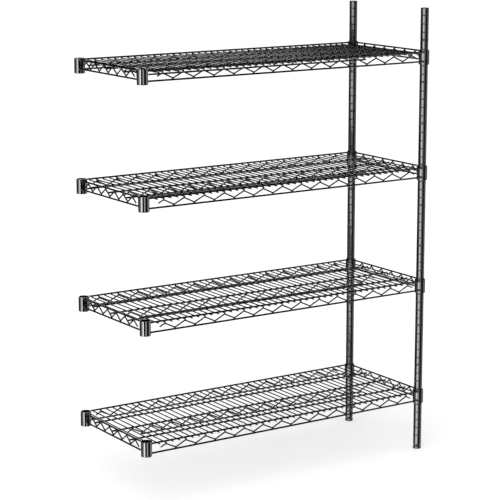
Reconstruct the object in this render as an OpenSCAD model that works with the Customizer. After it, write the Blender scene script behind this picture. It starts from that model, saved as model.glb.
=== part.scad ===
// Add-on wire shelving unit: four wire shelves that hang on two grooved posts at
// their right end. The empty collars at the left end drop over the sleeves on the
// posts of a neighbouring unit. X runs left to right, the front faces -Y, the
// floor is at Z = 0 and the origin is midway between the collars. All sizes in mm.

/* [Unit] */
// Distance between the collar axes, left to right
span_w = 990; // [700:5:1300]
// Distance between the collar axes, front to rear
span_d = 361; // [320:1:520]

/* [Posts] */
// Outside diameter of the post tube
post_d = 25.4; // [22:0.1:30]
// Wall of the post tube
post_wall = 1.2; // [0.8:0.1:2.5]
// Length of post that stands above the top shelf
post_reach = 125.8; // [40:0.1:300]
// Step from one rolled groove to the next
groove_step = 25.4; // [20:0.1:30]
// Depth of a groove
groove_depth = 0.7; // [0.4:0.05:0.9]
// Width of a groove at the surface of the post
groove_w = 2.4; // [1.8:0.1:3.2]
// Height of the first groove above the lower end of the tube
first_groove = 30; // [20:0.5:40]
// Every groove of this count is rolled double, as a mark for the eye
mark_every = 5; // [3:1:10]
// Distance between the two lines of a double groove
mark_gap = 4; // [3.5:0.1:6]
// Height of the cap that closes the post, above the tube
cap_h = 2; // [1.5:0.1:4]
// Length of the cap's plug inside the tube
cap_plug_h = 14; // [8:0.5:25]

/* [Feet] */
// Height of the tube's lower end above the floor, with the foot screwed home
tube_lift = 15; // [13:0.5:25]
// Height of the foot's pad
pad_h = 9.5; // [6:0.5:11]
// Diameter of the foot's pad
pad_d = 25; // [18:0.5:30]
// Bevel on the edges of the pad and on the tip of the stud
pad_edge = 1.2; // [0.5:0.1:2]
// Diameter of the foot's stud
stud_d = 9.5; // [6:0.1:12]
// Length of the stud above the pad
stud_h = 38; // [25:0.5:60]
// Height of the tapered nose of the insert, below the tube
nose_h = 4; // [2:0.5:5]
// Length of the insert inside the tube
insert_h = 42; // [30:0.5:70]

/* [Shelves] */
// Groove that holds the lowest shelf, counted from zero
lowest_groove = 5; // [3:1:8]
// Grooves from one shelf to the next
shelf_step = 14; // [6:1:16]

/* [Collars and sleeves] */
// Outside diameter of a collar
collar_d = 33; // [32:0.1:38]
// Height of a collar
collar_h = 44; // [42:0.5:60]
// Bore of the collar at its narrow upper end
bore_top_d = 29.2; // [28.6:0.1:29.8]
// Bore of the collar at its lower end
bore_bottom_d = 30.8; // [30:0.1:31]
// Height of the straight part at the top of the bore
bore_land_h = 10; // [6:0.5:16]
// Chamfer on the collar's outer edges
collar_edge = 0.7; // [0.3:0.1:1]
// How far the sleeve stays inside the collar at each end
sleeve_inset = 1; // [0.5:0.1:4]
// Height of the bead in the sleeve that snaps into a groove
bead_depth = 0.5; // [0.2:0.05:0.5]
// Slot between the two halves of a sleeve
sleeve_slot = 1.2; // [0.6:0.1:3]

/* [Wires] */
// Diameter of the frame wires, the stringers and the centre truss wires
frame_wire_d = 5.4; // [4:0.1:6.5]
// Diameter of the snake wires
snake_wire_d = 4.4; // [2.8:0.1:5]
// Length of a long snake wire's free end, as a share of one run
free_end_share = 0.5; // [0.3:0.05:0.8]
// Length of an end truss's free snake end, as a share of one run
end_free_share = 0.9; // [0.6:0.05:0.95]
// Diameter of the deck wires
deck_wire_d = 3.8; // [2.5:0.1:4.5]
// Radius of a snake wire's bends, at the middle of the wire
snake_bend_r = 4.5; // [3.5:0.1:6]
// How much fatter a snake wire is where it is bent
bend_swell = 0.08; // [0.05:0.01:0.12]
// Depth of the front and rear top wires below the collars' tops
top_wire_drop = 5.3; // [3:0.1:8]
// Height of the front and rear trusses, between their wires
truss_h = 28.7; // [27:0.1:32]
// Depth of the end trusses' top wires below the collars' tops
end_wire_drop = 4.2; // [3:0.1:8]
// Height of the end trusses, between their wires
end_truss_h = 26.2; // [24:0.1:30]
// How far the front and rear trusses stand outside the collar axes
truss_out = 11.5; // [9:0.1:12]
// How far the end trusses stand outside the collar axes
end_truss_out = 6.5; // [3:0.1:9]
// Distance from the collar axes to the first and last deck wire
deck_margin = 12.5; // [9:0.1:14]
// Least step from one deck wire to the next
deck_step = 22.4; // [18:0.1:30]
// How far the deck wires reach past the front and rear top wires
deck_tail = 3.5; // [1:0.1:5]
// Least length of one wave of the end trusses' snake wires
end_wave = 51; // [40:1:70]
// Distance from a collar to the nearest trough of the end trusses' snake wires
end_wave_margin = 11; // [5:0.5:20]
// Trough of the end trusses' snake wires that a stringer passes over, counted from a collar
stringer_trough = 1; // [1:1:2]
// How far the long wires reach past the end trusses
stringer_tail = 5; // [1:0.5:8]

/* [Clearances] */
// Gap at each weld between two wires, or a wire and a collar
weld_gap = 0.05; // [0.02:0.01:0.1]
// Radial gap between a sleeve and its collar
sleeve_fit = 0.2; // [0.1:0.05:0.3]
// Radial gap between a sleeve and its post
post_fit = 0.1; // [0.05:0.01:0.2]
// Radial gap between a plug and the tube that it is pressed into
plug_fit = 0.05; // [0.02:0.01:0.1]
// Radial gap between the foot's stud and its insert
stud_fit = 0.08; // [0.02:0.01:0.1]

/* [Hidden] */
$fn = 64;
finish_black = [0.05, 0.05, 0.055];
plastic_black = [0.09, 0.09, 0.095];
foot_black = [0.12, 0.12, 0.125];
SHELVES = [1, 2, 3, 4];
FRONT = -1;
REAR = 1;
LEFT = -1;
RIGHT = 1;
eps = 0.01;

// Heights, from the grooves that hold the shelves
function groove_z(n) = tube_lift + first_groove + n * groove_step;
function shelf_z(k) = groove_z(lowest_groove + (k - 1) * shelf_step) - collar_h / 2;
function shelf_top(k) = shelf_z(k) + collar_h;
tube_top = shelf_top(len(SHELVES)) + post_reach;
groove_count = floor((tube_top - groove_z(0) - groove_step / 2) / groove_step) + 1;

// Radii
post_r = post_d / 2;
tube_bore_r = post_r - post_wall;
plug_r = tube_bore_r - plug_fit;
collar_r = collar_d / 2;
stud_r = stud_d / 2;
frame_r = frame_wire_d / 2;
snake_r = snake_wire_d / 2;
deck_r = deck_wire_d / 2;

// Heights of the wires below a collar's top, each layer lying on the next
deck_drop = top_wire_drop + frame_r + deck_r + weld_gap;
snake_top_drop = deck_drop + deck_r + snake_r + weld_gap;
truss_bottom_drop = top_wire_drop + truss_h;
snake_bottom_drop = truss_bottom_drop - frame_r - snake_r - weld_gap;
long_drop = deck_drop + deck_r + frame_r + weld_gap;
end_bottom_drop = end_wire_drop + end_truss_h;
wire_on_snake = frame_r + snake_r + weld_gap;
snake_h = snake_bottom_drop - snake_top_drop;
center_bottom_drop = long_drop + 2 * wire_on_snake + snake_h;

// Deck wires: three steps to a wave of the long snake wires, two left over at each end
function in_hundredths(v) = floor(v * 100 + 0.5) / 100;
deck_w = span_w - 2 * deck_margin;
wave_count = floor((deck_w / deck_step - 4) / 3);
deck_gaps = 3 * wave_count + 4;
deck_pitch = in_hundredths(deck_w / deck_gaps);
wave = 3 * deck_pitch;
first_deck_x = -deck_pitch * deck_gaps / 2;
first_crest_x = first_deck_x + 2 * deck_pitch;

// End trusses: whole waves, with a trough at each end, clear of the collars
end_clear_d = span_d - 2 * (collar_r + end_wave_margin);
end_waves = floor(end_clear_d / end_wave);
end_pitch = in_hundredths(end_clear_d / end_waves);
end_snake_h = end_truss_h - 2 * wire_on_snake;

truss_y = span_d / 2 + truss_out;
end_truss_x = span_w / 2 + end_truss_out;
stringer_y = (end_waves / 2 - stringer_trough) * end_pitch;

// How far a snake wire's straight runs reach into its fatter bends
tuck = snake_wire_d / 8;

// Puts its children on the axis of the front or the rear post
module at_post(side) {
    translate([span_w / 2, side * span_d / 2, 0]) children();
}

// Puts its children at the top of a shelf's collars
module at_shelf(k) {
    translate([0, 0, shelf_top(k)]) children();
}

// A straight wire along X, centred on the origin
module wire_x(length, d) {
    rotate([0, 90, 0]) cylinder(h = length, d = d, center = true);
}

// A straight wire along Y, centred on the origin
module wire_y(length, d) {
    rotate([90, 0, 0]) cylinder(h = length, d = d, center = true);
}

// The room that the four collars of a shelf take out of the wires welded to them
module collar_room() {
    for (x = [-span_w / 2, span_w / 2], y = [-span_d / 2, span_d / 2])
        translate([x, y, -collar_h - eps])
            cylinder(h = collar_h + 2 * eps, r = collar_r + weld_gap);
}

// One groove, or one line of a double groove, as points up the post's outline
function groove_points(z) = [
    [post_r, z - groove_w / 2],
    [post_r - groove_depth, z - groove_w / 6],
    [post_r - groove_depth, z + groove_w / 6],
    [post_r, z + groove_w / 2]
];

// Heights of all the rolled lines, with the second line of each double groove
function groove_lines() = [
    for (n = [0 : groove_count - 1])
        each (n % mark_every == mark_every - 1 ? [groove_z(n), groove_z(n) + mark_gap] : [groove_z(n)])
];

// Tubular post with a groove rolled round it at every step
module post() {
    color(finish_black) rotate_extrude() polygon(concat(
        [[tube_bore_r, tube_lift], [post_r, tube_lift]],
        [for (z = groove_lines()) each groove_points(z)],
        [[post_r, tube_top], [tube_bore_r, tube_top]]
    ));
}

// Moulded cap: a low crown over the end of the tube and a plug inside it
module post_cap() {
    crown_edge = cap_h / 2;
    color(plastic_black) translate([0, 0, tube_top]) rotate_extrude() polygon([
        [0, -cap_plug_h], [plug_r - crown_edge, -cap_plug_h], [plug_r, crown_edge - cap_plug_h],
        [plug_r, 0], [post_r, 0], [post_r, cap_h - crown_edge],
        [post_r - crown_edge, cap_h], [0, cap_h]
    ]);
}

// Insert in the foot of the tube: a plug with a tapered nose and a bore for the stud
module post_insert() {
    nose_r = stud_r + (post_r - stud_r) / 2;
    bore_r = stud_r + stud_fit;
    color(plastic_black) translate([0, 0, tube_lift]) rotate_extrude() polygon([
        [bore_r, -nose_h], [nose_r, -nose_h], [post_r, -collar_edge], [post_r, 0],
        [plug_r, 0], [plug_r, insert_h], [bore_r, insert_h]
    ]);
}

// Levelling foot: a round pad with a raised rim, and the stud that screws into the insert
module levelling_foot() {
    pad_r = pad_d / 2;
    color(foot_black) rotate_extrude() polygon([
        [0, 0], [pad_r - pad_edge, 0], [pad_r, pad_edge],
        [pad_r, pad_h - pad_edge], [pad_r - pad_edge, pad_h],
        [pad_r - 2 * pad_edge, pad_h], [stud_r, pad_h - pad_edge],
        [stud_r, pad_h + stud_h - pad_edge], [stud_r - pad_edge, pad_h + stud_h], [0, pad_h + stud_h]
    ]);
}

// Radius of a collar's tapered bore at a height above the collar's lower end
function collar_bore_r(z) =
    z > collar_h - bore_land_h ? bore_top_d / 2
    : bore_bottom_d / 2 + (bore_top_d - bore_bottom_d) / 2 * z / (collar_h - bore_land_h);

// One half of a split sleeve, with the bead that snaps into the post's groove
module sleeve_half() {
    inside_r = post_r + post_fit;
    bead_r = inside_r - bead_depth;
    bead_z = collar_h / 2;
    slot_angle = 2 * asin(sleeve_slot / 2 / inside_r);
    low = sleeve_inset;
    high = collar_h - sleeve_inset;
    step_z = collar_h - bore_land_h;
    rotate([0, 0, slot_angle / 2]) rotate_extrude(angle = 180 - slot_angle) polygon([
        [inside_r, low], [collar_bore_r(low) - sleeve_fit, low],
        [collar_bore_r(step_z) - sleeve_fit, step_z], [bore_top_d / 2 - sleeve_fit, high],
        [inside_r, high], [inside_r, bead_z + groove_w / 4 + bead_depth / 2],
        [bead_r, bead_z + groove_w / 8], [bead_r, bead_z - groove_w / 8],
        [inside_r, bead_z - groove_w / 4 - bead_depth / 2]
    ]);
}

// Split tapered sleeve that holds one corner of a shelf
module sleeve(k) {
    color(plastic_black) translate([0, 0, shelf_z(k)])
        for (turn = [0, 180]) rotate([0, 0, turn]) sleeve_half();
}

// Corner collar, hanging below the origin
module collar() {
    color(finish_black) translate([0, 0, -collar_h]) rotate_extrude() polygon([
        [bore_bottom_d / 2, 0], [collar_r - collar_edge, 0], [collar_r, collar_edge],
        [collar_r, collar_h - collar_edge], [collar_r - collar_edge, collar_h],
        [bore_top_d / 2, collar_h], [bore_top_d / 2, collar_h - bore_land_h]
    ]);
}

// The two collars at the left or the right end of a shelf
module collar_pair(side) {
    for (y = [-span_d / 2, span_d / 2]) translate([side * span_w / 2, y, 0]) collar();
}

// Slope of a snake wire's straight runs, for a given half wave and height
function snake_slope(half, h) =
    let (rise = h - 2 * snake_bend_r)
    atan2(rise, half) + asin(2 * snake_bend_r / norm([half, rise]));

// One bend of a snake wire, with its crest at the origin
module snake_bend(slope) {
    translate([0, 0, -snake_bend_r]) rotate([90, 0, 0])
        rotate_extrude(angle = 2 * slope, start = 90 - slope)
            translate([snake_bend_r, 0]) circle(d = snake_wire_d + bend_swell);
}

// One straight run of a snake wire, down to the right from a crest at the origin
module snake_run(half, h, slope, share = 1) {
    rise = h - 2 * snake_bend_r;
    run = sqrt(half * half + rise * rise - 4 * snake_bend_r * snake_bend_r);
    translate([snake_bend_r * sin(slope), 0, -snake_bend_r + snake_bend_r * cos(slope)])
        rotate([0, 90 + slope, 0]) translate([0, 0, -tuck])
            cylinder(h = run * share + tuck * (share < 1 ? 1 : 2), d = snake_wire_d);
}

// Snake wire along X: crests at the origin and at every wave, with a tail run at each end
module snake_wire(waves, pitch, h, tail_share) {
    half = pitch / 2;
    slope = snake_slope(half, h);
    for (n = [0 : waves]) translate([n * pitch, 0, 0]) {
        snake_bend(slope);
        snake_run(half, h, slope, n < waves ? 1 : tail_share);
        mirror([1, 0, 0]) snake_run(half, h, slope, n > 0 ? 1 : tail_share);
        if (n < waves) translate([half, 0, -h]) mirror([0, 0, 1]) snake_bend(slope);
    }
}

// Front or rear truss: top wire over the deck, snake wire under it, bottom wire below
module long_truss(side) {
    color(finish_black) {
        difference() {
            translate([0, side * truss_y, 0]) {
                translate([0, 0, -top_wire_drop]) wire_x(span_w, frame_wire_d);
                translate([0, 0, -truss_bottom_drop]) wire_x(span_w, frame_wire_d);
            }
            collar_room();
        }
        translate([first_crest_x, side * truss_y, -snake_top_drop])
            snake_wire(wave_count, wave, snake_h, free_end_share);
    }
}

// Left or right end truss: top and bottom wire between two collars, snake wire between them
module end_truss(side) {
    snake_d = end_waves * end_pitch;
    color(finish_black) {
        difference() {
            translate([side * end_truss_x, 0, 0]) {
                translate([0, 0, -end_wire_drop]) wire_y(span_d, frame_wire_d);
                translate([0, 0, -end_bottom_drop]) wire_y(span_d, frame_wire_d);
            }
            collar_room();
        }
        translate([side * end_truss_x, (end_pitch - snake_d) / 2, -end_wire_drop - wire_on_snake])
            rotate([0, 0, 90]) snake_wire(end_waves - 1, end_pitch, end_snake_h, end_free_share);
    }
}

// Centre truss under the deck: a full top wire, a snake wire and a shorter bottom wire
module center_truss() {
    bottom_w = (wave_count - 1) * wave + 2 * frame_wire_d;
    color(finish_black) {
        translate([0, 0, -long_drop]) wire_x(2 * (end_truss_x + stringer_tail), frame_wire_d);
        translate([0, 0, -center_bottom_drop]) wire_x(bottom_w, frame_wire_d);
        translate([first_crest_x, 0, -long_drop - wire_on_snake])
            snake_wire(wave_count, wave, snake_h, free_end_share);
    }
}

// Two long wires under the deck, whose ends pass through the end trusses' open waves
module stringers() {
    color(finish_black) for (side = [FRONT, REAR])
        translate([0, side * stringer_y, -long_drop])
            wire_x(2 * (end_truss_x + stringer_tail), frame_wire_d);
}

// Deck wires from front to rear. The first and last end against the collars.
module deck_wires() {
    full_d = 2 * (truss_y + deck_tail);
    color(finish_black) {
        for (n = [1 : deck_gaps - 1])
            translate([first_deck_x + n * deck_pitch, 0, -deck_drop]) wire_y(full_d, deck_wire_d);
        difference() {
            for (n = [0, deck_gaps])
                translate([first_deck_x + n * deck_pitch, 0, -deck_drop]) wire_y(span_d, deck_wire_d);
            collar_room();
        }
    }
}

at_post(FRONT) post();  // front_post
at_post(REAR) post();  // rear_post
at_post(FRONT) post_cap();  // front_post_cap
at_post(REAR) post_cap();  // rear_post_cap
at_post(FRONT) post_insert();  // front_post_insert
at_post(REAR) post_insert();  // rear_post_insert
at_post(FRONT) levelling_foot();  // front_levelling_foot
at_post(REAR) levelling_foot();  // rear_levelling_foot
for (k = SHELVES) {
    at_post(FRONT) sleeve(k);
    at_post(REAR) sleeve(k);
    at_shelf(k) collar_pair(LEFT);
    at_shelf(k) collar_pair(RIGHT);
    at_shelf(k) long_truss(FRONT);
    at_shelf(k) long_truss(REAR);
    at_shelf(k) end_truss(LEFT);
    at_shelf(k) end_truss(RIGHT);
    at_shelf(k) center_truss();
    at_shelf(k) stringers();
    at_shelf(k) deck_wires();
}
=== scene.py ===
import math

import bmesh
import bpy
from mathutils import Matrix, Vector


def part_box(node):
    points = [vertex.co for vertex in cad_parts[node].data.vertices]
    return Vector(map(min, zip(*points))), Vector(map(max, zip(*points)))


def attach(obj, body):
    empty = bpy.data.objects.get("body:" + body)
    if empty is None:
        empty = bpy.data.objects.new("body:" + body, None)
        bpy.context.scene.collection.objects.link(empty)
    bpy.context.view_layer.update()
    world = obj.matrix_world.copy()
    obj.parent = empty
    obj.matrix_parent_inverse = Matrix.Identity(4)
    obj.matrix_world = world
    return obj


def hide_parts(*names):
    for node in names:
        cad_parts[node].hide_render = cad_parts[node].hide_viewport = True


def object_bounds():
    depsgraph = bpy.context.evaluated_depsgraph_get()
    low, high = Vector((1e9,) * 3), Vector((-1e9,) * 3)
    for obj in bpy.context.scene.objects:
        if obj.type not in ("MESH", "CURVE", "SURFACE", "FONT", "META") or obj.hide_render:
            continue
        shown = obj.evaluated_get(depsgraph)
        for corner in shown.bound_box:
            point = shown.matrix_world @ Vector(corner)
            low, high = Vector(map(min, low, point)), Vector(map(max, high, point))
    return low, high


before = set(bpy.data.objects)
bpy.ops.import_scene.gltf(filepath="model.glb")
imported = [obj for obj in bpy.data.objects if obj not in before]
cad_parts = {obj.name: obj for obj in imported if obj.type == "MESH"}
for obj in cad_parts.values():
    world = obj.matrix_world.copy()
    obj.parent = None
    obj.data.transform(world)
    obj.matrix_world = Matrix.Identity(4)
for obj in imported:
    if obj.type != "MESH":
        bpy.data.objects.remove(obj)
cad_low, cad_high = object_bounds()


# Posts: drawn steel tube with a groove rolled round it at every inch, coated with black epoxy
# that was sprayed on as powder and baked. The coat levels into a fine orange peel, a little
# thicker and glossier in some places than in others.
def new_finish(name):
    material = bpy.data.materials.new(name)
    material.use_nodes = True
    tree = material.node_tree
    return material, tree, tree.nodes["Principled BSDF"]


# An uneven mottle over the piece, with so many patches to the metre
def mottle(tree, per_metre, detail):
    place = tree.nodes.new("ShaderNodeTexCoord")
    patches = tree.nodes.new("ShaderNodeTexNoise")
    patches.inputs["Scale"].default_value = per_metre
    patches.inputs["Detail"].default_value = detail
    tree.links.new(place.outputs["Object"], patches.inputs["Vector"])
    return patches.outputs["Fac"]


# A number that goes from at_start to at_end while the value goes from start to end
def graded(tree, value, start, end, at_start, at_end):
    scale = tree.nodes.new("ShaderNodeMapRange")
    scale.inputs["From Min"].default_value = start
    scale.inputs["From Max"].default_value = end
    scale.inputs["To Min"].default_value = at_start
    scale.inputs["To Max"].default_value = at_end
    tree.links.new(value, scale.inputs["Value"])
    return scale.outputs["Result"]


# A colour that goes from dark to pale while the value goes from start to end
def shaded(tree, value, start, end, dark, pale):
    ramp = tree.nodes.new("ShaderNodeValToRGB")
    ramp.color_ramp.elements[0].position = start
    ramp.color_ramp.elements[0].color = (*dark, 1)
    ramp.color_ramp.elements[1].position = end
    ramp.color_ramp.elements[1].color = (*pale, 1)
    tree.links.new(value, ramp.inputs["Fac"])
    return ramp.outputs["Color"]


# A surface raised by a value, to a height in millimetres
def raised(tree, value, height_mm, strength):
    bump = tree.nodes.new("ShaderNodeBump")
    bump.inputs["Strength"].default_value = strength
    bump.inputs["Distance"].default_value = height_mm / 1000
    tree.links.new(value, bump.inputs["Height"])
    return bump.outputs["Normal"]


def coated_steel(name, peel_mm, peel_height_mm, shine, dull, clear_coat):
    material, tree, shader = new_finish(name)
    shader.inputs["IOR"].default_value = 1.55
    shader.inputs["Coat Weight"].default_value = clear_coat
    shader.inputs["Coat Roughness"].default_value = shine
    thickness = mottle(tree, per_metre=28, detail=4)
    roughness = graded(tree, thickness, start=0.3, end=0.7, at_start=shine, at_end=dull)
    black = shaded(tree, thickness, start=0.35, end=0.75, dark=(0.003, 0.003, 0.0035),
                   pale=(0.008, 0.008, 0.0085))
    peel = mottle(tree, per_metre=1000 / peel_mm, detail=2)
    tree.links.new(roughness, shader.inputs["Roughness"])
    tree.links.new(black, shader.inputs["Base Color"])
    tree.links.new(raised(tree, peel, peel_height_mm, strength=0.5), shader.inputs["Normal"])
    return material


# The result of one sum on a value and a second value or a plain number
def worked_out(tree, operation, value, second):
    node = tree.nodes.new("ShaderNodeMath")
    node.operation = operation
    tree.links.new(value, node.inputs[0])
    if isinstance(second, bpy.types.NodeSocket):
        tree.links.new(second, node.inputs[1])
    else:
        node.inputs[1].default_value = second
    return node.outputs[0]


# The powder lies thin in the rolled grooves and cures duller there. Each row of grooves is the
# height of its first groove, the step from one to the next, and how many there are.
def dull_grooves(material, width, dull, *rows):
    fade_from = 0.35 * width
    fade_to = 0.65 * width
    tree = material.node_tree
    finish = tree.nodes["Principled BSDF"].inputs["Roughness"]
    roughness = finish.links[0].from_socket
    place = tree.nodes.new("ShaderNodeTexCoord")
    height = tree.nodes.new("ShaderNodeSeparateXYZ")
    tree.links.new(place.outputs["Object"], height.inputs["Vector"])
    for first, step, grooves in rows:
        last = first + (grooves - 1) * step
        number = graded(tree, height.outputs["Z"], start=first - step / 2, end=last + step / 2,
                        at_start=-0.5, at_end=grooves - 0.5)
        steps_away = worked_out(tree, "PINGPONG", number, 0.5)
        thin_powder = graded(tree, steps_away, start=fade_from / step, end=fade_to / step,
                             at_start=dull, at_end=0)
        roughness = worked_out(tree, "MAXIMUM", roughness, thin_powder)
    tree.links.new(roughness, finish)


def dress(node_name, material):
    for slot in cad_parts[node_name].material_slots:
        slot.material = material


first_groove = 0.045
groove_step = 0.0254
groove_width = 0.0036
groove_dull = 0.6
groove_count = int((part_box("front_post")[1].z - first_groove) / groove_step) + 1
double_every = 5
double_gap = 0.004
first_double = first_groove + (double_every - 1) * groove_step + double_gap
tube_coat = coated_steel("tube_coat", peel_mm=2.4, peel_height_mm=0.012, shine=0.12, dull=0.18, clear_coat=0)
dull_grooves(tube_coat, groove_width, groove_dull, (first_groove, groove_step, groove_count),
             (first_double, double_every * groove_step, groove_count // double_every))
for side in ("front", "rear"):
    dress(f"{side}_post", tube_coat)


# Caps and inserts: moulded black plastic plugs, pressed into the two ends of the tube.
# Their skin copies the fine spark-eroded grain of the mould, and is duller than the coat.
def moulded_plastic(name, grain_mm, dull):
    uneven = 0.08
    material, tree, shader = new_finish(name)
    shader.inputs["IOR"].default_value = 1.49
    flow = mottle(tree, per_metre=60, detail=2)
    roughness = graded(tree, flow, start=0, end=1, at_start=dull - uneven, at_end=dull + uneven)
    black = shaded(tree, flow, start=0, end=1, dark=(0.014, 0.014, 0.015), pale=(0.026, 0.026, 0.027))
    grain = mottle(tree, per_metre=1000 / grain_mm, detail=3)
    tree.links.new(roughness, shader.inputs["Roughness"])
    tree.links.new(black, shader.inputs["Base Color"])
    tree.links.new(raised(tree, grain, height_mm=0.03, strength=0.6), shader.inputs["Normal"])
    return material


plug_plastic = moulded_plastic("plug_plastic", grain_mm=0.5, dull=0.38)
for side in ("front", "rear"):
    dress(f"{side}_post_cap", plug_plastic)
    dress(f"{side}_post_insert", plug_plastic)


# Sleeves: two tapered half shells of black plastic that snap round a groove of the post.
# The collar drops over them and wedges them tight, so only their rims show.
shelf_count = sum(name.startswith("deck_wires_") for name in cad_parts)
shelf_numbers = range(1, shelf_count + 1)
sleeve_plastic = moulded_plastic("sleeve_plastic", grain_mm=0.7, dull=0.5)
for number in shelf_numbers:
    for side in ("front", "rear"):
        dress(f"{side}_sleeve_{number}", sleeve_plastic)


# Levelling feet: a turned steel pad on a threaded stud, blackened, screwed into the insert.
# The thread is cut along the whole stud, and the pad's edges are rounded by the lathe.
def new_piece(name, points, faces):
    data = bpy.data.meshes.new(name)
    data.from_pydata(points, [], faces)
    piece = bpy.data.objects.new(name, data)
    bpy.context.collection.objects.link(piece)
    return piece


def turned_foot(name, low, high):
    pad_height = 0.0095
    edge = 0.0012
    edge_steps = 4
    stud_radius = 0.00475
    thread_pitch = 0.0015
    thread_depth = 0.0009
    around = 40
    rings_per_turn = 6
    axis = (low + high) / 2
    pad_radius = (high.x - low.x) / 2
    foot_height = high.z - low.z
    quarter = [math.pi / 2 * step / edge_steps for step in range(edge_steps + 1)]

    # The pad's outline, from the edge of its sole to the root of the stud
    outline = []
    for turn in quarter:
        outline.append((pad_radius - edge + edge * math.sin(turn), edge - edge * math.cos(turn)))
    for turn in quarter:
        outline.append((pad_radius - edge + edge * math.cos(turn),
                        pad_height - edge + edge * math.sin(turn)))
    outline.append((pad_radius - 2 * edge, pad_height))
    root = pad_height - edge
    outline.append((stud_radius + edge / 2, root))
    rings = [[point] * around for point in outline]

    # The thread winds up the stud and runs out into the chamfer at its end
    thread_rings = int((foot_height - pad_height) / thread_pitch * rings_per_turn)
    for ring in range(thread_rings):
        height = root + (foot_height - root) * ring / thread_rings
        chamfer = max(0, edge - (foot_height - height))
        points = []
        for step in range(around):
            phase = (height / thread_pitch - step / around) % 1
            depth = thread_depth * abs(2 * phase - 1)
            points.append((stud_radius - depth - chamfer, height))
        rings.append(points)
    rings.append([(stud_radius - edge - thread_depth, foot_height)] * around)

    points = []
    for ring in rings:
        for step, (radius, height) in enumerate(ring):
            turn = 2 * math.pi * step / around
            x = axis.x + radius * math.cos(turn)
            y = axis.y + radius * math.sin(turn)
            points.append((x, y, low.z + height))
    top_ring = len(points) - around
    faces = [range(around - 1, -1, -1), range(top_ring, len(points))]
    for start in range(0, top_ring, around):
        for step in range(around):
            after = (step + 1) % around
            faces.append((start + step, start + after, start + around + after, start + around + step))
    foot = new_piece(name, points, faces)
    foot.data.shade_smooth()
    return foot


foot_steel = coated_steel("foot_steel", peel_mm=1.2, peel_height_mm=0.01, shine=0.4, dull=0.5, clear_coat=0)
for side in ("front", "rear"):
    foot = turned_foot(f"{side}_threaded_foot", *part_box(f"{side}_levelling_foot"))
    foot.data.materials.append(foot_steel)
    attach(foot, f"{side}_foot")
    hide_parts(f"{side}_levelling_foot")


# Collars: short lengths of steel tube with a tapered bore, one at each corner of a shelf.
# They are welded to the wires and coated with them. The left ones wait for a neighbour's posts
# and keep their gloss; the right ones were driven down on the sleeves and are as dull as the posts.
left_collar_coat = coated_steel("left_collar_coat", peel_mm=2.0, peel_height_mm=0.012, shine=0.08, dull=0.12,
                                clear_coat=1)
right_collar_coat = coated_steel("right_collar_coat", peel_mm=2.0, peel_height_mm=0.012, shine=0.12,
                                 dull=0.18, clear_coat=0)
for number in shelf_numbers:
    dress(f"left_collars_{number}", left_collar_coat)
    dress(f"right_collars_{number}", right_collar_coat)


# Trusses, stringers and deck: drawn steel wire, cut, bent and spot-welded into a shelf,
# then coated as one piece. On the thin deck wires the coat is a little duller, with a finer peel.
wire_coat = coated_steel("wire_coat", peel_mm=1.6, peel_height_mm=0.01, shine=0.18, dull=0.26, clear_coat=0.6)
deck_coat = coated_steel("deck_coat", peel_mm=1.4, peel_height_mm=0.01, shine=0.2, dull=0.28, clear_coat=0.6)
for number in shelf_numbers:
    for part in ("front_truss", "rear_truss", "left_truss", "right_truss", "center_truss", "stringers"):
        dress(f"{part}_{number}", wire_coat)
    dress(f"deck_wires_{number}", deck_coat)


# Welds: the wires are spot-welded where they cross and where they meet a collar, and the coat
# runs into each weld and over each cut end, where it leaves a small round bead. One piece for
# each shelf holds all its beads, and each bead is a round lens that is stretched to its place.
snake_radius = 0.0022
snake_bend = 0.0045
long_truss_tail = 0.5
end_truss_tail = 0.9
deck_wire_count = 44
first_crest_wire = 2
wires_per_wave = 3
end_wave_count = 6
end_wave_length = 0.051
weld_spread = 1.3
weld_height = 0.0009
end_coat = 0.001
collar_low, collar_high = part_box("right_collars_1")
collar_radius = (collar_high.x - collar_low.x) / 2
collar_x = collar_high.x - collar_radius
collar_y = collar_high.y - collar_radius
to_right = Vector((1, 0, 0))
to_rear = Vector((0, 1, 0))
upward = Vector((0, 0, 1))

lens = bmesh.new()
bmesh.ops.create_uvsphere(lens, u_segments=12, v_segments=6, radius=1)
lens.verts.index_update()
lens_points = [vertex.co.copy() for vertex in lens.verts]
lens_faces = [[vertex.index for vertex in face.verts] for face in lens.faces]
lens.free()


def bead_piece(name, beads):
    points = []
    faces = []
    for bead in beads:
        faces += [[len(points) + corner for corner in face] for face in lens_faces]
        points += bead
    piece = new_piece(name, points, faces)
    piece.data.shade_smooth()
    return piece


# A bead between a wire along X and one along Y, in the corners that the two leave open
def crossing_weld(place, x_wire_radius, y_wire_radius):
    width_share = 0.85
    height_share = 0.35
    half_size = Vector((width_share * y_wire_radius, width_share * x_wire_radius,
                        height_share * min(x_wire_radius, y_wire_radius)))
    return [place + point * half_size for point in lens_points]


# A bead where a bend of a snake wire touches a straight wire that runs the same way. Its half
# sizes are counted in radii of the snake wire, and it is one radius longer along the wires.
def bend_weld(place, direction):
    half_size = snake_radius * (Vector((0.7, 0.7, 0.4)) + direction)
    return [place + point * half_size for point in lens_points]


# The coat's bead on the cut end of a wire: as wide as the wire, and low
def cut_end(place, direction, radius):
    turn = direction.to_track_quat("Z", "Y")
    half_size = Vector((radius, radius, end_coat))
    return [place + turn @ (point * half_size) for point in lens_points]


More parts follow.
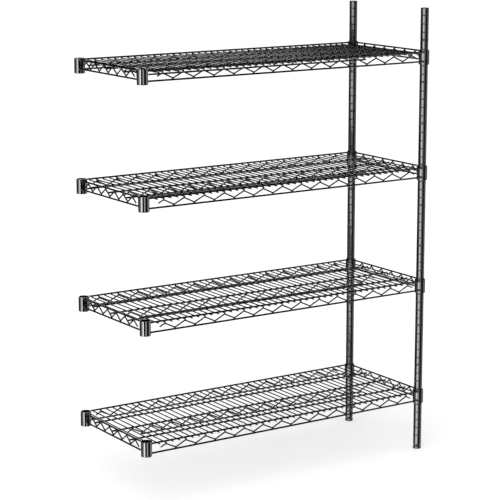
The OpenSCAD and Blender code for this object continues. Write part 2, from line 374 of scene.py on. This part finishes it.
# The bead on the free end of a snake wire, which slopes down and away from its last crest. The
# tail is the share of a whole slope that is left there.
def free_end(crest, outward, half_wave, drop, tail):
    rise = drop - 2 * snake_bend
    slope = math.atan2(rise, half_wave) + math.asin(2 * snake_bend / math.hypot(half_wave, rise))
    length = tail * math.sqrt(half_wave ** 2 + rise ** 2 - (2 * snake_bend) ** 2)
    away = snake_bend * math.sin(slope) + length * math.cos(slope)
    down = snake_bend * (1 - math.cos(slope)) + length * math.sin(slope)
    direction = math.cos(slope) * outward - math.sin(slope) * upward
    return cut_end(crest + away * outward - down * upward, direction, snake_radius)


# A weld round a wire that runs into the wall of the collar on its side: a low mound that bends
# with the wall, and is longer the more the wire slants to it
def collar_weld(place, direction, radius):
    collar = Vector((math.copysign(collar_x, place.x), math.copysign(collar_y, place.y), place.z))
    outward = place - collar
    facing = math.atan2(outward.y, outward.x)
    half_height = weld_spread * radius
    half_turn = half_height / abs(outward.dot(direction))
    points = []
    for point in lens_points:
        turn = facing + half_turn * point.x
        reach = collar_radius + weld_height * point.z
        shift = Vector((reach * math.cos(turn), reach * math.sin(turn), half_height * point.y))
        points.append(collar + shift)
    return points


for number in shelf_numbers:
    beads = []
    deck_low, deck_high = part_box(f"deck_wires_{number}")
    deck_radius = (deck_high.z - deck_low.z) / 2
    deck_z = (deck_low.z + deck_high.z) / 2
    deck_step = (deck_high.x - deck_low.x - 2 * deck_radius) / (deck_wire_count - 1)
    deck_places = [deck_low.x + deck_radius + deck_step * index for index in range(deck_wire_count)]
    crests = deck_places[first_crest_wire::wires_per_wave]
    half_wave = deck_step * wires_per_wave / 2
    troughs = [crest + half_wave for crest in crests[:-1]]

    # Deck wires: their cut ends, and the first and the last one against the collars
    for x in deck_places[1:-1]:
        for y in (deck_low.y, deck_high.y):
            beads.append(cut_end(Vector((x, y, deck_z)), to_rear, deck_radius))
    for x in (deck_places[0], deck_places[-1]):
        y = collar_y - math.sqrt(collar_radius ** 2 - (collar_x - abs(x)) ** 2)
        for place in (Vector((x, -y, deck_z)), Vector((x, y, deck_z))):
            beads.append(collar_weld(place, to_rear, deck_radius))

    # Front and rear truss: deck wires under the top wire, snake wire under the deck wires
    for side in ("front", "rear"):
        low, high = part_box(f"{side}_truss_{number}")
        radius = (high.y - low.y) / 2
        y = (low.y + high.y) / 2
        for x in deck_places[1:-1]:
            beads.append(crossing_weld(Vector((x, y, high.z - 2 * radius)), radius, deck_radius))
        for x in crests:
            beads.append(crossing_weld(Vector((x, y, deck_low.z)), snake_radius, deck_radius))
        for x in troughs:
            beads.append(bend_weld(Vector((x, y, low.z + 2 * radius)), to_right))
        crest_z = deck_low.z - snake_radius
        drop = crest_z - low.z - 2 * radius - snake_radius
        for x, outward in ((crests[0], -to_right), (crests[-1], to_right)):
            beads.append(free_end(Vector((x, y, crest_z)), outward, half_wave, drop, long_truss_tail))
        x = collar_x - math.sqrt(collar_radius ** 2 - (abs(y) - collar_y) ** 2)
        for z in (low.z + radius, high.z - radius):
            for place in (Vector((-x, y, z)), Vector((x, y, z))):
                beads.append(collar_weld(place, to_right, radius))

    # End trusses: snake wire between the two wires that join the collars
    for side in ("left", "right"):
        low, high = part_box(f"{side}_truss_{number}")
        radius = (high.x - low.x) / 2
        x = (low.x + high.x) / 2
        y = collar_y - math.sqrt(collar_radius ** 2 - (abs(x) - collar_x) ** 2)
        for z in (low.z + radius, high.z - radius):
            for place in (Vector((x, -y, z)), Vector((x, y, z))):
                beads.append(collar_weld(place, to_rear, radius))
        for wave in range(end_wave_count):
            y = (wave - (end_wave_count - 1) / 2) * end_wave_length
            beads.append(bend_weld(Vector((x, y, high.z - 2 * radius)), to_rear))
        for wave in range(1, end_wave_count):
            y = (wave - end_wave_count / 2) * end_wave_length
            beads.append(bend_weld(Vector((x, y, low.z + 2 * radius)), to_rear))
        crest_z = high.z - 2 * radius - snake_radius
        drop = crest_z - low.z - 2 * radius - snake_radius
        y = (end_wave_count - 1) / 2 * end_wave_length
        for crest_y, outward in ((-y, -to_rear), (y, to_rear)):
            beads.append(free_end(Vector((x, crest_y, crest_z)), outward, end_wave_length / 2, drop,
                                  end_truss_tail))

    # Stringers and centre truss: deck wires on top, snake wire and bottom wire below
    low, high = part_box(f"stringers_{number}")
    radius = (high.z - low.z) / 2
    for y in (low.y + radius, 0, high.y - radius):
        for x in deck_places:
            beads.append(crossing_weld(Vector((x, y, deck_low.z)), radius, deck_radius))
        for x in (low.x, high.x):
            beads.append(cut_end(Vector((x, y, low.z + radius)), to_right, radius))
    center_low, center_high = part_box(f"center_truss_{number}")
    for x in crests:
        beads.append(bend_weld(Vector((x, 0, center_high.z - 2 * radius)), to_right))
    for x in troughs:
        beads.append(bend_weld(Vector((x, 0, center_low.z + 2 * radius)), to_right))
    crest_z = center_high.z - 2 * radius - snake_radius
    drop = crest_z - center_low.z - 2 * radius - snake_radius
    for x, outward in ((crests[0], -to_right), (crests[-1], to_right)):
        beads.append(free_end(Vector((x, 0, crest_z)), outward, half_wave, drop, long_truss_tail))
    bottom_end = troughs[-1] + 2 * radius
    for x in (-bottom_end, bottom_end):
        beads.append(cut_end(Vector((x, 0, center_low.z + radius)), to_right, radius))

    weld_beads = bead_piece(f"weld_beads_{number}", beads)
    weld_beads.data.materials.append(wire_coat)
    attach(weld_beads, f"shelf_{number}")


# Studio: a wide floor of white paper under plain soft light. The paper and the surround read
# white to the camera, and the paper keeps the object's soft shadow.
def seen_directly(tree):
    path = tree.nodes.new("ShaderNodeLightPath")
    seen = path.outputs["Is Camera Ray"]
    for kind in ("Is Glossy Ray", "Is Transmission Ray"):
        seen = worked_out(tree, "MAXIMUM", seen, path.outputs[kind])
    return seen


paper_size = 60
paper_glow = 0.38
bpy.ops.mesh.primitive_plane_add(size=paper_size, location=(0, 0, cad_low.z))
floor = bpy.context.object
floor.name = "floor"
floor.visible_glossy = False
white_paper, tree, shader = new_finish("white_paper")
shader.inputs["Base Color"].default_value = (0.93, 0.93, 0.93, 1)
shader.inputs["Roughness"].default_value = 0.9
shader.inputs["Specular IOR Level"].default_value = 0.1
shader.inputs["Emission Color"].default_value = (1, 1, 1, 1)
glow = worked_out(tree, "MULTIPLY", seen_directly(tree), paper_glow)
tree.links.new(glow, shader.inputs["Emission Strength"])
floor.data.materials.append(white_paper)

surround_light = 0.55
surround_white = 1.0
surround = bpy.data.worlds.new("white_surround")
bpy.context.scene.world = surround
surround.use_nodes = True
tree = surround.node_tree
backdrop = tree.nodes["Background"]
backdrop.inputs["Color"].default_value = (1, 1, 1, 1)
strength = graded(tree, seen_directly(tree), start=0, end=1, at_start=surround_light, at_end=surround_white)
tree.links.new(strength, backdrop.inputs["Strength"])

middle = (cad_low + cad_high) / 2
soft_lamp = bpy.data.lights.new("wide_soft_lamp", "SUN")
soft_lamp.energy = 0.9
soft_lamp.angle = math.radians(50)
soft_light = bpy.data.objects.new("wide_soft_lamp", soft_lamp)
soft_light.location = (-1.5, -1.0, 3.0)
soft_light.rotation_euler = (middle - soft_light.location).to_track_quat("-Z", "Y").to_euler()
soft_light.visible_glossy = False
bpy.context.collection.objects.link(soft_light)


# Camera: a long lens in front of the left end, a little above the top shelf. It is turned to
# the right and tilted down, so that the whole rack fills the frame.
camera_turn = math.radians(33.562)
camera_tilt = math.radians(11.207)
camera_data = bpy.data.cameras.new("camera")
camera_data.sensor_width = 36
camera_data.lens = 133.125
camera_data.shift_y = -0.0262
camera = bpy.data.objects.new("camera", camera_data)
camera.location = (-3.0537, -4.5725, 1.7954)
camera.rotation_euler = (math.pi / 2 - camera_tilt, 0, -camera_turn)
bpy.context.collection.objects.link(camera)
bpy.context.scene.camera = camera
bpy.context.scene.view_settings.view_transform = "Standard"


# Reflection cards: gloss black shows what stands round it, so the set is hung with black cloth,
# open overhead, with upright cards in front of the cloth that are lit brighter in some parts
# than in others. They are seen only in the gloss of the coat.
def seen_in_gloss_only(thing):
    thing.visible_camera = False
    thing.visible_diffuse = False
    thing.visible_transmission = False
    thing.visible_volume_scatter = False
    thing.visible_shadow = False


def unlit_black(name):
    material, tree, shader = new_finish(name)
    shader.inputs["Base Color"].default_value = (0, 0, 0, 1)
    shader.inputs["Specular IOR Level"].default_value = 0
    return material, tree, shader


cloth_distance = 6
cloth_height = 24
bpy.ops.mesh.primitive_cylinder_add(radius=cloth_distance, depth=cloth_height, end_fill_type="NOTHING",
                                    location=(middle.x, middle.y, cad_low.z))
hanging_cloth = bpy.context.object
hanging_cloth.name = "black_cloth"
black_cloth, _, _ = unlit_black("black_cloth")
hanging_cloth.data.materials.append(black_cloth)
seen_in_gloss_only(hanging_cloth)

lit_card, tree, shader = unlit_black("lit_card")
lit_card.cycles.emission_sampling = "NONE"
brightness = tree.nodes.new("ShaderNodeAttribute")
brightness.attribute_name = "brightness"
shader.inputs["Emission Color"].default_value = (1, 1, 1, 1)
tree.links.new(brightness.outputs["Fac"], shader.inputs["Emission Strength"])


# An upright strip bent round a place on the floor. Its angles are in degrees to the right of
# the camera's side.
def upright_strip(name, x, y, distance, foot, head, angles):
    points = []
    for angle in angles:
        turn = math.radians(angle) - camera_turn - math.pi / 2
        strip_x = x + distance * math.cos(turn)
        strip_y = y + distance * math.sin(turn)
        points += [(strip_x, strip_y, foot), (strip_x, strip_y, head)]
    faces = [(at, at + 2, at + 3, at + 1) for at in range(0, len(points) - 2, 2)]
    strip = new_piece(name, points, faces)
    seen_in_gloss_only(strip)
    return strip


# A lit card bent round the object. Each station is an angle and the card's brightness there.
def reflection_card(name, *stations):
    angles = [angle for angle, _ in stations]
    card = upright_strip(name, middle.x, middle.y, distance=5, foot=-3.0, head=1.8, angles=angles)
    card.data.materials.append(lit_card)
    glow = card.data.attributes.new("brightness", "FLOAT", "POINT")
    for index, (_, radiance) in enumerate(stations):
        glow.data[2 * index].value = radiance
        glow.data[2 * index + 1].value = radiance


reflection_card("front_card", (-125, 0.03), (-106, 0.08), (-89, 0.3), (-74, 1.0), (-60, 2.4), (-47, 5.6),
                (-38, 10.5), (-31, 15.0), (-24, 12.5), (-11, 8.0), (0, 6.0), (11, 3.4), (20, 3.4), (27, 2.2))
reflection_card("right_card", (72, 0.6), (82, 1.4), (95, 1.7), (106, 1.7), (120, 0.8), (127, 0.3))
reflection_card("back_card", (150, 1.0), (165, 2.2), (182, 2.6), (200, 2.2), (215, 1.0))


# A strip of black cloth hung close to the left collars draws the dark line down their gloss
flag_distance = 0.25
flag_angles = (-28, 9)
for side, y in (("front", -collar_y), ("rear", collar_y)):
    flag = upright_strip(f"{side}_black_flag", -collar_x, y, flag_distance, foot=cad_low.z, head=cad_high.z,
                         angles=flag_angles)
    flag.data.materials.append(black_cloth)
